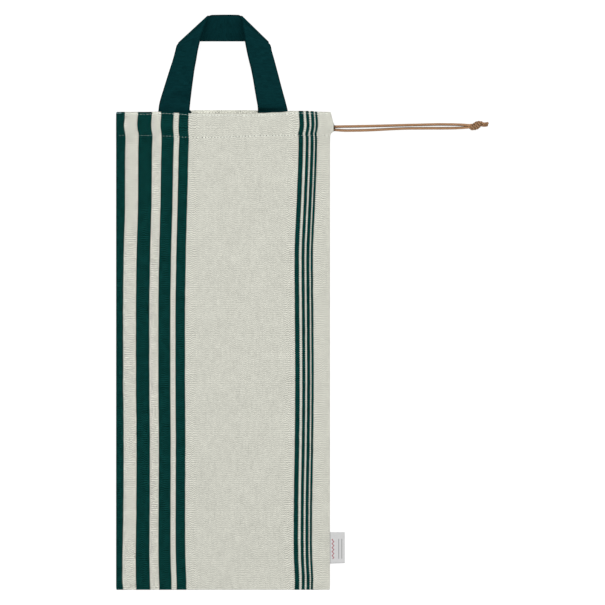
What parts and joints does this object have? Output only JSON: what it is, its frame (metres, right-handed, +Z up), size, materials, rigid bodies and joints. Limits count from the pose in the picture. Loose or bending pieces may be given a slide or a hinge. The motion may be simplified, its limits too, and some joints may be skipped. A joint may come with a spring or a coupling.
{
  "type": "bread bag",
  "caption": "Flat cloth bread bag with woven stripes, a drawcord channel round its mouth, a webbing handle and a small folded side tab.",
  "frame": {"origin": "middle of the bag's underside, on the table, half way along and across the cloth body", "axes": "+Z up from the table, +Y along the bag towards its mouth and handle, +X across the bag towards the drawcord"},
  "size_m": [0.4868, 0.7512, 0.0321],
  "materials": {
    "striped_cotton": "matt woven cotton, ecru with dark green stripes",
    "green_webbing": "matt cotton webbing",
    "tan_cord": "braided cord",
    "grey_tape": "satin tape"
  },
  "bodies": {
    "root": {"bag": "striped_cotton", "handle": "green_webbing", "drawcord_in_channel": "tan_cord", "drawcord_upper_strand": "tan_cord", "drawcord_lower_strand": "tan_cord", "drawcord_knot": "tan_cord", "side_label": "grey_tape"}
  },
  "joints": []
}
